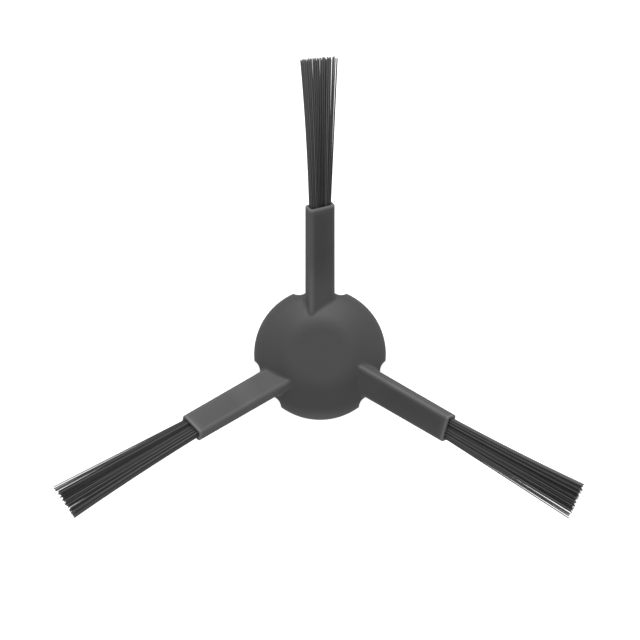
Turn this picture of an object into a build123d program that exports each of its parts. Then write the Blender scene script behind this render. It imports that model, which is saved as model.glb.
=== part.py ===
from build123d import *
import os
from math import cos, radians, sin, sqrt, tan

# Side brush of a robot vacuum: one moulded hub, whose three twisted arms end in open
# sockets, and a tuft of stiff filaments seated in each socket. It is modelled as it lies
# on a table: +Z runs up the spin axis, out of the dome, from the hub's rim at Z = 0.
# Each arm and tuft is drawn along +X and then turned to its place.

os.makedirs("parts", exist_ok=True)

# Dome, from the skirt at the rim to the level disc at the top
hub_radius = 19.0
skirt_height = 0.8
rim_arc = 7.0
flank_run = 3.4
flank_slope = 30.0
shoulder_arc = 9.8
hub_wall = 2.2
rim_edge = 0.3

# Drive boss and ribs under the dome
drive_across = 6.4
drive_corner = 0.8
drive_roof = 2.7
drive_lead_in = 0.5
boss_wall = 1.8
snap_groove_level = 4.6
snap_groove_height = 1.2
snap_groove_depth = 0.3
rib_count = 6
rib_thickness = 1.4
rib_recess = 0.6

# Arms, whose axis is drawn in the plane of radius and height
arm_count = 3
first_arm_angle = 90.0
arm_twist = 27.0
arm_drop = 3.2
arm_root_slope = 6.0
arm_slope = 29.0
arm_bend_radius = 22.0
bend_overhang = 1.7
mouth_radius = 42.7
arm_corner = 1.0
arm_fillet = 1.2

# Scalloped notches in the rim, one on each side of every arm
notch_radius = 3.4
notch_depth = 2.0
notch_gap = 1.85

# Sockets in the arms' ends
socket_depth = 12.0
socket_wall = 0.95
socket_clearance = 0.1
mouth_edge = 0.2

# Tufts, measured at the sockets' mouths and at the trimmed tips
tuft_width = 6.1
tuft_thickness = 1.95
tip_width = 10.5
tip_thickness = 2.8
tip_radius = 84.4
trim_lean = 5.0
trim_scatter = 0.5
filament_size = 0.3
filament_gap = 0.03
plug_depth = 2.0

# Dome sizes that follow
flank_angle = radians(flank_slope)
rim_run = rim_arc * (1 - sin(flank_angle))
shoulder_run = shoulder_arc * sin(flank_angle)
shoulder_drop = shoulder_arc * (1 - cos(flank_angle))
flank_drop = flank_run * tan(flank_angle)
flat_radius = hub_radius - rim_run - flank_run - shoulder_run
hub_height = skirt_height + rim_arc * cos(flank_angle) + flank_drop + shoulder_drop
drive_depth = hub_height - drive_roof
boss_radius = (drive_across / 2 - drive_corner) * sqrt(2) + drive_corner + boss_wall

# Arm sizes that follow
twist_angle = radians(arm_twist)
arm_width = tuft_width + 2 * (socket_clearance + socket_wall)
arm_thickness = tuft_thickness + 2 * (socket_clearance + socket_wall)
flat_width = arm_width - 2 * arm_corner
flat_thickness = arm_thickness - 2 * arm_corner
side_reach = (flat_width * cos(twist_angle) + flat_thickness * sin(twist_angle)) / 2 + arm_corner
bend_start = hub_radius + bend_overhang
bend_height = hub_height - arm_drop
start_height = bend_height - (bend_start - flat_radius) * tan(radians(arm_root_slope))
arm_angles = [first_arm_angle + index * 360 / arm_count for index in range(arm_count)]
notch_centre = hub_radius - notch_depth + notch_radius
notch_offset = side_reach + notch_gap

# Fan of a tuft, which widens evenly from the socket's floor to the tips
free_length = (tip_radius - mouth_radius) / cos(radians(arm_slope))
width_growth = (tip_width - tuft_width) / free_length
thickness_growth = (tip_thickness - tuft_thickness) / free_length
floor_width = tuft_width - width_growth * socket_depth
floor_thickness = tuft_thickness - thickness_growth * socket_depth


def along(slope):
    """Unit vector along an arm that climbs outwards at this slope."""
    return Vector(cos(radians(slope)), 0, sin(radians(slope)))


def across(slope):
    """Unit vector along the wide side of an arm's twisted section, at this slope."""
    rise = Vector(-sin(radians(slope)), 0, cos(radians(slope)))
    return Vector(0, cos(twist_angle), 0) + rise * sin(twist_angle)


def dome_outline(inset):
    """Half section of the dome, moved inwards: disc, shoulder, flank, rim arc and skirt."""
    top = hub_height - inset
    side = hub_radius - inset
    disc = Line((0, top), (flat_radius, top))
    shoulder = JernArc(disc @ 1, (1, 0), shoulder_arc - inset, -flank_slope)
    flank = PolarLine(shoulder @ 1, flank_run / cos(flank_angle), -flank_slope)
    rim = JernArc(flank @ 1, flank % 1, rim_arc - inset, flank_slope - 90)
    Polyline(rim @ 1, (side, 0), (0, 0), (0, top))


# Arm: a rounded bar, swept out of the dome round a bend, with a socket drafted to the fan
with BuildPart() as arm:
    with BuildLine(Plane.XZ) as arm_axis:
        root = Line((flat_radius, start_height), (bend_start, bend_height))
        bend = JernArc(root @ 1, root % 1, arm_bend_radius, arm_slope - arm_root_slope)
        PolarLine(bend @ 1, mouth_radius - (bend @ 1).X, arm_slope, length_mode=LengthMode.HORIZONTAL)
    mouth = Plane(arm_axis.line @ 1, across(arm_slope), along(arm_slope))
    with BuildSketch(Plane(arm_axis.line @ 0, across(arm_root_slope), along(arm_root_slope))):
        RectangleRounded(arm_width, arm_thickness, arm_corner)
    sweep(path=arm_axis.line)
    for level, width, thickness in (
        (0, tuft_width, tuft_thickness),
        (-socket_depth, floor_width, floor_thickness),
    ):
        with BuildSketch(mouth.offset(level)):
            Rectangle(width + 2 * socket_clearance, thickness + 2 * socket_clearance)
    loft(mode=Mode.SUBTRACT)
    chamfer(arm.faces().sort_by(Axis.X)[-1].edges(), mouth_edge)

# Hollow under the dome, round the drive boss and its ribs
with BuildPart() as hollow:
    with BuildSketch(Plane.XZ):
        with BuildLine():
            dome_outline(hub_wall)
        make_face()
    revolve(axis=Axis.Z)
    with BuildSketch():
        Circle(boss_radius)
    extrude(amount=hub_height, mode=Mode.SUBTRACT)
    with BuildSketch(Plane.XY.offset(rib_recess)):
        with PolarLocations(hub_radius / 2, rib_count, start_angle=first_arm_angle):
            Rectangle(hub_radius, rib_thickness)
    extrude(amount=hub_height, mode=Mode.SUBTRACT)

# Hub: dome with a notched rim, arms, hollow underside and square drive hole
with BuildPart() as hub:
    with BuildSketch(Plane.XZ):
        with BuildLine():
            dome_outline(0)
        make_face()
    revolve(axis=Axis.Z)
    with BuildSketch():
        with PolarLocations(0, arm_count, start_angle=first_arm_angle):
            with Locations((notch_centre, notch_offset), (notch_centre, -notch_offset)):
                Circle(notch_radius)
    extrude(amount=hub_height, mode=Mode.SUBTRACT)
    chamfer(hub.edges().group_by(Axis.Z)[0], rim_edge)
    with PolarLocations(0, arm_count, start_angle=first_arm_angle):
        add(arm.part)
    fillet(hub.edges(Select.NEW), arm_fillet)
    add(hollow.part, mode=Mode.SUBTRACT)
    with BuildSketch():
        RectangleRounded(drive_across, drive_across, drive_corner)
    extrude(amount=drive_depth, mode=Mode.SUBTRACT)
    chamfer(hub.edges(Select.LAST).group_by(Axis.Z)[0], drive_lead_in)
    with BuildSketch(Plane.XY.offset(snap_groove_level)):
        grooved_across = drive_across + 2 * snap_groove_depth
        RectangleRounded(grooved_across, grooved_across, drive_corner + snap_groove_depth)
    extrude(amount=snap_groove_height, mode=Mode.SUBTRACT)
hub.part.label = "hub"
export_step(hub.part, "parts/hub.step")

# Tuft: straight filaments that rise from a bonded root plug on the socket's floor
floor = mouth.offset(-socket_depth)
pitch_limit = filament_size + filament_gap
column_count = int((floor_width - filament_size) / pitch_limit) + 1
row_count = int((floor_thickness - filament_size) / pitch_limit) + 1
column_pitch = (floor_width - filament_size) / (column_count - 1)
row_pitch = (floor_thickness - filament_size) / (row_count - 1)
fan_length = socket_depth + free_length
trim_plane = Plane((tip_radius, 0, 0), z_dir=(1, tan(radians(trim_lean)), 0))


def filament(column, row):
    """Root plane and length of one filament: odd rows stand half a pitch to the side and
    hold one filament fewer, and each tip is cut a little off the trim plane."""
    aside = (column - (column_count - 1 - row % 2) / 2) * column_pitch
    up = (row - (row_count - 1) / 2) * row_pitch
    start = floor.from_local_coords((aside, up, plug_depth / 2))
    width_ratio = tip_width / floor_width
    thickness_ratio = tip_thickness / floor_thickness
    end = floor.from_local_coords((aside * width_ratio, up * thickness_ratio, fan_length))
    direction = (end - start).normalized()
    scatter = trim_scatter * sin(column * 4.1 + row * 2.3)
    reach = (trim_plane.origin - start).dot(trim_plane.z_dir) / direction.dot(trim_plane.z_dir)
    return Plane(start, floor.x_dir, direction), reach + scatter


with BuildPart() as pattern:
    with BuildSketch(floor):
        RectangleRounded(floor_width, floor_thickness, filament_size / 2)
    extrude(amount=plug_depth)
    filaments = []
    for row in range(row_count):
        for column in range(column_count - row % 2):
            root_plane, length = filament(column, row)
            with BuildSketch(root_plane):
                RegularPolygon(filament_size / 2, 6)
            filaments.append(extrude(amount=length, mode=Mode.PRIVATE))
    add(filaments)

for number, angle in enumerate(arm_angles, 1):
    with BuildPart() as tuft:
        with Locations(Rotation(0, 0, angle)):
            add(pattern.part)
    tuft.part.label = f"tuft_{number}"
    export_step(tuft.part, f"parts/tuft_{number}.step")
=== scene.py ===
import math

import bpy
import numpy as np
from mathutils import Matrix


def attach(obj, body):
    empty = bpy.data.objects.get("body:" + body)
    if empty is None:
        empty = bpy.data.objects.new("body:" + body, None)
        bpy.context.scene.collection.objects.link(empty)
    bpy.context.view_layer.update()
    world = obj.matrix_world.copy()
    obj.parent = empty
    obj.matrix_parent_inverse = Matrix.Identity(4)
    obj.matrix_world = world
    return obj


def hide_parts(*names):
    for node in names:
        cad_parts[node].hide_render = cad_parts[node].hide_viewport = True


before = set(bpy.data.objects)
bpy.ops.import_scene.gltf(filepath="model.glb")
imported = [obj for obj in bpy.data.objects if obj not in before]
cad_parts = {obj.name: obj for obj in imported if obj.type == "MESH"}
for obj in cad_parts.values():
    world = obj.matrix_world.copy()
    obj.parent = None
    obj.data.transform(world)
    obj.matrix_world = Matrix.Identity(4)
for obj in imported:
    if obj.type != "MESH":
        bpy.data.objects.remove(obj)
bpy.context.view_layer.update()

# Hub with its three arms: one injection moulding in soft, dark grey thermoplastic elastomer.
# A spark-eroded mould gives it a fine, even matt grain. Its sharp edges, ridges, arm ends and socket rims
# carry a painted highlight, and the middles of its arms a painted shade.


def linear(hex_code):
    """Linear red, green, blue and alpha of an sRGB hex colour, by the sRGB curve."""
    srgb = np.array([int(hex_code[start:start + 2], 16) for start in (1, 3, 5)]) / 255
    colour = np.where(srgb <= 0.04045, srgb / 12.92, ((srgb + 0.055) / 1.055) ** 2.4)
    return (*colour.tolist(), 1.0)


def add_node(tree, kind, inputs=None, **settings):
    """Adds a node with its settings. Each input is a plain value, or a socket to link from."""
    node = tree.nodes.new(kind)
    for name, value in settings.items():
        setattr(node, name, value)
    for name, value in (inputs or {}).items():
        if isinstance(value, bpy.types.NodeSocket):
            tree.links.new(value, node.inputs[name])
        else:
            node.inputs[name].default_value = value
    return node


first_arm = math.radians(90)
arm_pitch = math.radians(120)
arm_slope = math.radians(29)
mouth_radius = 42.7e-3
mouth_height = 17.13e-3
arm_end = mouth_radius * math.cos(arm_slope) + mouth_height * math.sin(arm_slope)
# The real grain of about 0.1 mm is finer than a pixel, so it is drawn coarser
mould_grain = 0.35e-3
grain_depth = 0.02e-3
cloud_size = 9e-3
edge_reach = 0.85e-3

# Moulded elastomer is matt: it gives the eye a broad soft sheen and no sharp highlight
elastomer = bpy.data.materials.new("moulded_elastomer")
elastomer.use_nodes = True
tree = elastomer.node_tree
tree.nodes.clear()
place = add_node(tree, "ShaderNodeTexCoord").outputs["Object"]
fine = {"Vector": place, "Scale": 1 / mould_grain, "Detail": 3.0}
grain = add_node(tree, "ShaderNodeTexNoise", fine).outputs["Fac"]
broad = {"Vector": place, "Scale": 1 / cloud_size, "Detail": 2.0}
clouds = add_node(tree, "ShaderNodeTexNoise", broad).outputs["Fac"]

# A point's place on its arm: how far it lies aside of the arm's middle, seen from above, how far
# from the spin axis, and how far along the sloping arm
axes = add_node(tree, "ShaderNodeSeparateXYZ", {"Vector": place}).outputs
bearing = add_node(tree, "ShaderNodeMath", {0: axes["Y"], 1: axes["X"]}, operation="ARCTAN2").outputs[0]
from_first = add_node(tree, "ShaderNodeMath", {0: bearing, 1: first_arm}, operation="SUBTRACT").outputs[0]
one_pitch = {0: from_first, 1: arm_pitch / 2, 2: -arm_pitch / 2}
from_arm = add_node(tree, "ShaderNodeMath", one_pitch, operation="WRAP").outputs[0]
no_height = {0: place, 1: (1, 1, 0)}
flattened = add_node(tree, "ShaderNodeVectorMath", no_height, operation="MULTIPLY").outputs[0]
radius = add_node(tree, "ShaderNodeVectorMath", {0: flattened}, operation="LENGTH").outputs["Value"]
sine = add_node(tree, "ShaderNodeMath", {0: from_arm}, operation="SINE").outputs[0]
cosine = add_node(tree, "ShaderNodeMath", {0: from_arm}, operation="COSINE").outputs[0]
aside = add_node(tree, "ShaderNodeMath", {0: sine, 1: radius}, operation="MULTIPLY").outputs[0]
ahead = add_node(tree, "ShaderNodeMath", {0: cosine, 1: radius}, operation="MULTIPLY").outputs[0]
off_middle = add_node(tree, "ShaderNodeMath", {0: aside}, operation="ABSOLUTE").outputs[0]
side_view = add_node(tree, "ShaderNodeCombineXYZ", {"X": ahead, "Z": axes["Z"]}).outputs[0]
climb = {0: side_view, 1: (math.cos(arm_slope), 0, math.sin(arm_slope))}
along = add_node(tree, "ShaderNodeVectorMath", climb, operation="DOT_PRODUCT").outputs["Value"]

# Short rays cast into the solid come out again near its sharp edges, and so they mark them for a painted
# highlight
inside = add_node(tree, "ShaderNodeAmbientOcclusion", {"Distance": edge_reach}, inside=True, samples=8)

# Shares that rise smoothly from 0 at the first limit to 1 at the second
share = {}
for name, value, start, full in (
    ("narrow side", aside, 1.0e-3, 2.7e-3),
    ("within arm", aside, 4.8e-3, 4.3e-3),
    ("past root", radius, 11e-3, 14e-3),
    ("middle", off_middle, 3.4e-3, 0.6e-3),
    ("past dome", radius, 18e-3, 24e-3),
    ("before mouth", radius, 41.5e-3, 38.5e-3),
    ("mouth", along, arm_end - 2.4e-3, arm_end - 0.2e-3),
    ("lit socket rim", along, arm_end - 0.07e-3, arm_end - 0.05e-3),
    ("edge", inside.outputs["AO"], 1.0, 0.8),
):
    limits = {"Value": value, "From Min": start, "From Max": full}
    ramp = add_node(tree, "ShaderNodeMapRange", limits, interpolation_type="SMOOTHSTEP")
    share[name] = ramp.outputs["Result"]
# Where each arm's ridge and narrow side take a painted highlight, and where its middle takes a painted
# shade
for name, factors in (
    ("lit ridge", ("narrow side", "within arm", "past root")),
    ("shaded middle", ("middle", "past dome", "before mouth")),
):
    share[name] = share[factors[0]]
    for factor in factors[1:]:
        both = {0: share[name], 1: share[factor]}
        share[name] = add_node(tree, "ShaderNodeMath", both, operation="MULTIPLY").outputs[0]

# The body's tone, and over it the tones of those shares, one on the other: a painted shade on the middles
# of the arms, and a painted highlight on the ridges and narrow sides, towards the mouths, on the sharp
# edges and on the socket rims
body = {"Fac": clouds, "Color1": linear("#454545"), "Color2": linear("#494949")}
skin = add_node(tree, "ShaderNodeMixRGB", body).outputs["Color"]
for name, hex_code in (
    ("shaded middle", "#424242"),
    ("lit ridge", "#515151"),
    ("mouth", "#535353"),
    ("edge", "#707070"),
    ("lit socket rim", "#7a7a7a"),
):
    layer = {"Fac": share[name], "Color1": skin, "Color2": linear(hex_code)}
    skin = add_node(tree, "ShaderNodeMixRGB", layer).outputs["Color"]
gloss = add_node(tree, "ShaderNodeMapRange", {"Value": grain, "To Min": 0.48, "To Max": 0.62})
relief = add_node(tree, "ShaderNodeBump", {"Height": grain, "Strength": 0.12, "Distance": grain_depth})
shader = add_node(
    tree,
    "ShaderNodeBsdfPrincipled",
    {
        "Base Color": skin,
        "Roughness": gloss.outputs["Result"],
        "Normal": relief.outputs["Normal"],
        "IOR": 1.5,
    },
)
add_node(tree, "ShaderNodeOutputMaterial", {"Surface": shader.outputs["BSDF"]})
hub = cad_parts["hub"]
hub.data.materials.clear()
hub.data.materials.append(elastomer)

# Tufts: in each arm's socket stand some ninety nylon filaments, bonded at their roots and cut
# level at the tips. They leave the mouth packed side by side, then fan out and part into a few
# locks, and at the low edge a few single ones stand apart from the rest.
arm_twist = math.radians(27)
socket_depth = 12e-3
filament_size = 0.27e-3
filament_sides = 6
# Stations of a filament, as shares of its way from the mouth to its tip
free_stations = np.array([0, 0.17, 0.34, 0.51, 0.68, 0.84, 0.985, 1])

# The bundle's filaments, and its width and thickness on the socket's floor and in the mouth
column_count = 16
row_count = 6
root_size = (5.0e-3, 1.74e-3)
mouth_size = (6.26e-3, 1.98e-3)

# The fan at the tips, as places aside of the arm's middle, seen from above. The low edge of the
# fan flares early, which keeps its filaments straight, and the high edge flares later.
stray_places = np.array([-5.1, -5.0, -4.6, -4.5, -4.4, -4.1, -4.0, -3.9, -3.8, -3.7]) * 1e-3
fan_places = (-3.3e-3, 5.5e-3)
early_flare = (1.0, 0.5)
tip_thickness = 2.8e-3
tip_drift = 0.04e-3
tuft_sway = (0.12e-3, -0.1e-3, -0.04e-3)
tip_radius = 84.4e-3
trim_lean = math.radians(5)
trim_scatter = 0.4e-3

# The locks of the fan, in which the filaments draw together by a small share near their tips
lock_width = 2.15e-3
lock_offset = 0.15e-3
lock_pull = 0.05
lock_onset = 5

# Shades from 0, the darkest, to 1, the palest, with three values where the tufts differ. The light and
# dark tones are painted light and shade, each tuft's contrast, lift and fade are painted light for how
# the light falls on that tuft, and the outermost filaments' shades are painted light.
dark_tones = (0.05, 0.28)
light_tones = (0.55, 0.9)
out_of_turn = 0.2
tuft_painted_contrast = (0.6, 1.0, 1.25)
tuft_painted_lift = (0.26, 0.06, 0.01)
tuft_painted_fade = (1.95, -0.35, -0.25)
edge_count = 8
outer_painted_shades = (0.5, 0.8)
cut_paleness = 0.4
# Real draw lines are finer than a pixel, so they are drawn coarser
streak_size = 0.6e-3
streak_depth = 0.02e-3


def filament_grid():
    """Level and side of each filament in the bundle, from -0.5 to 0.5: rows of equal width,
    of which every other one holds one filament fewer."""
    row = np.repeat(np.arange(row_count), column_count - np.arange(row_count) % 2)
    in_row = column_count - row % 2
    column = np.arange(len(row)) - np.searchsorted(row, row)
    return row / (row_count - 1) - 0.5, column / (in_row - 1) - 0.5


def filament_paths(sway, draws):
    """Every filament's offsets along the bundle's width, thickness and length, as an array of
    filament, station and offset, and the filaments' order across the tuft. A filament runs from
    its place on the socket's floor to its place in the mouth, and from there to its place in
    the fan by a share of the distance plus a share of its square. The first ones have places of
    their own, apart from the fan. The others move a little towards the middle of their lock
    near the tips."""
    level, side = filament_grid()
    root, mouth = (
        np.stack([side * (width - filament_size), level * (thickness - filament_size)], axis=-1)
        for width, thickness in (root_size, mouth_size)
    )
    mouth_plan = mouth[:, 0] * math.cos(arm_twist) - mouth[:, 1] * math.sin(arm_twist)
    order = np.argsort(np.argsort(mouth_plan))
    fan = np.linspace(*fan_places, len(order) - len(stray_places))
    places = np.concatenate([stray_places, fan])
    plan = places[order] + sway + draws.normal(0, tip_drift, len(order))
    up = level * (tip_thickness - filament_size) + draws.normal(0, tip_drift, len(order))
    tip = np.stack([(plan + up * math.sin(arm_twist)) / math.cos(arm_twist), up], axis=-1)
    lock = lock_offset + (np.floor((plan - lock_offset) / lock_width) + 0.5) * lock_width
    pull = np.where(order < len(stray_places), 0, lock_pull * (lock - plan)) / math.cos(arm_twist)
    rise = tip[:, 0] * math.sin(arm_twist) + tip[:, 1] * math.cos(arm_twist)
    cut = tip_radius - plan * math.tan(trim_lean) + draws.uniform(-1, 1, len(order)) * trim_scatter
    free = (cut + math.sin(arm_slope) * rise - mouth_radius) / math.cos(arm_slope)
    early = np.interp(plan, fan_places, early_flare)[:, None]
    flare = early * free_stations + (1 - early) * free_stations ** 2
    spread = mouth[:, None] + (tip - mouth)[:, None] * flare[..., None]
    spread[..., 0] += pull[:, None] * free_stations ** lock_onset
    length = free[:, None] * free_stations
    in_the_open = np.concatenate([spread, length[..., None]], axis=-1)
    on_the_floor = np.column_stack([root, np.full(len(order), -socket_depth)])
    return np.concatenate([on_the_floor[:, None], in_the_open], axis=1), order


def filament_tubes(angle, paths):
    """Corner points of the filaments on the arm at that angle, as an array of filament, station,
    side and axis: a ring round each station of the paths, which are laid along the arm's width,
    thickness and length and start from the middle of its mouth."""
    out = np.array([math.cos(angle), math.sin(angle), 0])
    left = np.array([-math.sin(angle), math.cos(angle), 0])
    height = np.array([0, 0, 1])
    axis = math.cos(arm_slope) * out + math.sin(arm_slope) * height
    lift = math.cos(arm_slope) * height - math.sin(arm_slope) * out
    wide = math.cos(arm_twist) * left + math.sin(arm_twist) * lift
    thick = math.cos(arm_twist) * lift - math.sin(arm_twist) * left
    centre = mouth_radius * out + mouth_height * height + paths @ np.stack([wide, thick, axis])
    turn = np.arange(filament_sides) * 2 * math.pi / filament_sides
    ring = filament_size / 2 * (np.cos(turn)[:, None] * wide + np.sin(turn)[:, None] * thick)
    return centre[:, :, None] + ring


def tube_faces(shape):
    """Quads between neighbouring stations of each tube, then its two end caps."""
    corner = np.arange(np.prod(shape)).reshape(shape)
    beside = np.roll(corner, -1, axis=2)
    walls = np.stack([corner[:, :-1], beside[:, :-1], beside[:, 1:], corner[:, 1:]], axis=-1)
    caps = np.concatenate([corner[:, 0, ::-1], corner[:, -1]])
    return walls.reshape(-1, 4).tolist() + caps.tolist()


def filament_shades(number, order, draws):
    """Shade of every filament at every station. Along a row, dark and light ones take turns as painted
    light and shade, apart from some that are out of turn. Each tuft stretches and lifts these tones, and
    changes them with the square of the way to the tips, as painted light for how the light falls on it.
    The outermost filaments go evenly from one shade to another instead, as painted light, and the cut
    ends are paler."""
    reach = np.concatenate([[0], free_stations])
    light = (np.arange(len(order)) + (draws.random(len(order)) < out_of_turn)) % 2
    if_light = draws.uniform(*light_tones, len(order))
    if_dark = draws.uniform(*dark_tones, len(order))
    tones = tuft_painted_contrast[number] * np.where(light, if_light, if_dark) + tuft_painted_lift[number]
    shades = tones[:, None] * (1 + tuft_painted_fade[number] * reach ** 2)
    # The outermost filaments take a painted light that grows towards their tips
    outer = (order < len(stray_places)) | (order >= len(order) - edge_count)
    shades[outer] = np.interp(reach, (0, 1), outer_painted_shades)
    return shades + cut_paleness * (reach == 1)


# Drawn nylon is smooth and a little glossy: every filament carries a thin highlight along its length.
# Lighter and darker ones lie side by side as painted light and shade, and the cut ends are paler.
nylon = bpy.data.materials.new("drawn_nylon")
nylon.use_nodes = True
tree = nylon.node_tree
tree.nodes.clear()
shade = add_node(tree, "ShaderNodeAttribute", attribute_name="shade").outputs["Fac"]
place = add_node(tree, "ShaderNodeTexCoord").outputs["Object"]
drawn = {"Vector": place, "Scale": 1 / streak_size, "Detail": 2.0}
streaks = add_node(tree, "ShaderNodeTexNoise", drawn).outputs["Fac"]
gloss = add_node(tree, "ShaderNodeMapRange", {"Value": streaks, "To Min": 0.34, "To Max": 0.5})
relief = add_node(tree, "ShaderNodeBump", {"Height": streaks, "Strength": 0.1, "Distance": streak_depth})
dark_to_pale = {"Fac": shade, "Color1": linear("#0f0e0e"), "Color2": linear("#7a7879")}
tone = add_node(tree, "ShaderNodeMixRGB", dark_to_pale)
shader = add_node(
    tree,
    "ShaderNodeBsdfPrincipled",
    {
        "Base Color": tone.outputs["Color"],
        "Roughness": gloss.outputs["Result"],
        "Normal": relief.outputs["Normal"],
        "IOR": 1.53,
        "Specular IOR Level": 0.3,
    },
)
add_node(tree, "ShaderNodeOutputMaterial", {"Surface": shader.outputs["BSDF"]})

for number, sway in enumerate(tuft_sway):
    draws = np.random.default_rng(number)
    paths, order = filament_paths(sway, draws)
    points = filament_tubes(first_arm + number * arm_pitch, paths)
    filament_count, station_count, side_count, _ = points.shape
    mesh = bpy.data.meshes.new(f"filaments_{number + 1}")
    mesh.from_pydata(points.reshape(-1, 3).tolist(), [], tube_faces(points.shape[:3]))
    smooth = np.arange(len(mesh.polygons)) < filament_count * (station_count - 1) * side_count
    mesh.polygons.foreach_set("use_smooth", smooth)
    shades = np.repeat(filament_shades(number, order, draws).ravel(), side_count)
    mesh.attributes.new("shade", "FLOAT", "POINT").data.foreach_set("value", shades)
    mesh.materials.append(nylon)
    tuft = bpy.data.objects.new(f"filaments_{number + 1}", mesh)
    bpy.context.scene.collection.objects.link(tuft)
    node_name = f"tuft_{number + 1}"
    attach(tuft, "root")
    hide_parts(node_name)

# Studio: a pale seamless floor under the brush, a camera straight above it and soft light,
# most of it from the far side of the table.
floor_size = 3.0
floor_glow = 0.8
floor_corners = np.array([[-1, -1, 0], [1, -1, 0], [1, 1, 0], [-1, 1, 0]]) * floor_size
floor_mesh = bpy.data.meshes.new("studio_floor")
floor_mesh.from_pydata(floor_corners.tolist(), [], [(0, 1, 2, 3)])
floor = bpy.data.objects.new("studio_floor", floor_mesh)
bpy.context.scene.collection.objects.link(floor)
# White paper, lit through from below, gives the eye one even white with no sheen
paper = bpy.data.materials.new("white_paper")
paper.use_nodes = True
tree = paper.node_tree
tree.nodes.clear()
shader = add_node(
    tree,
    "ShaderNodeBsdfPrincipled",
    {
        "Base Color": linear("#f4f4f4"),
        "Roughness": 0.9,
        "Emission Color": linear("#ffffff"),
        "Emission Strength": floor_glow,
    },
)
add_node(tree, "ShaderNodeOutputMaterial", {"Surface": shader.outputs["BSDF"]})
floor_mesh.materials.append(paper)
# The paper neither lights the brush nor stops light on its way to it
floor.visible_diffuse = False
floor.visible_glossy = False
floor.visible_shadow = False

# The camera stands so far off that the view is nearly parallel, and the spin axis is a little
# below the middle of the picture
pixel = 0.288e-3
frame_pixels = 640
axis_row = 354
camera_data = bpy.data.cameras.new("camera")
camera_data.lens = 1000
camera_data.sensor_width = 36
camera_data.shift_y = (axis_row - frame_pixels / 2) / frame_pixels
camera_data.clip_end = 20
camera = bpy.data.objects.new("camera", camera_data)
camera.location = (0, 0, pixel * frame_pixels * camera_data.lens / camera_data.sensor_width)
bpy.context.scene.collection.objects.link(camera)
bpy.context.scene.camera = camera
bpy.context.scene.view_settings.view_transform = "Standard"

air_glow = 0.538
world = bpy.data.worlds.new("studio_air")
world.use_nodes = True
world.node_tree.nodes["Background"].inputs["Color"].default_value = (1, 1, 1, 1)
world.node_tree.nodes["Background"].inputs["Strength"].default_value = air_glow
bpy.context.scene.world = world

# A large softbox stands on the far side. In front, a card below the floor throws a little light
# up under the rim.
light_distance = 1.6
for name, side, height, size, power in (
    ("key_softbox", 1, math.radians(31), 1.0, 17.5),
    ("front_card", -1, math.radians(-15), 0.8, 2.4),
):
    lamp_data = bpy.data.lights.new(name, "AREA")
    lamp_data.shape = "SQUARE"
    lamp_data.size = size
    lamp_data.energy = power
    lamp = bpy.data.objects.new(name, lamp_data)
    lamp.location = (0, side * light_distance * math.cos(height), light_distance * math.sin(height))
    lamp.rotation_euler = (side * (height - math.pi / 2), 0, 0)
    bpy.context.scene.collection.objects.link(lamp)
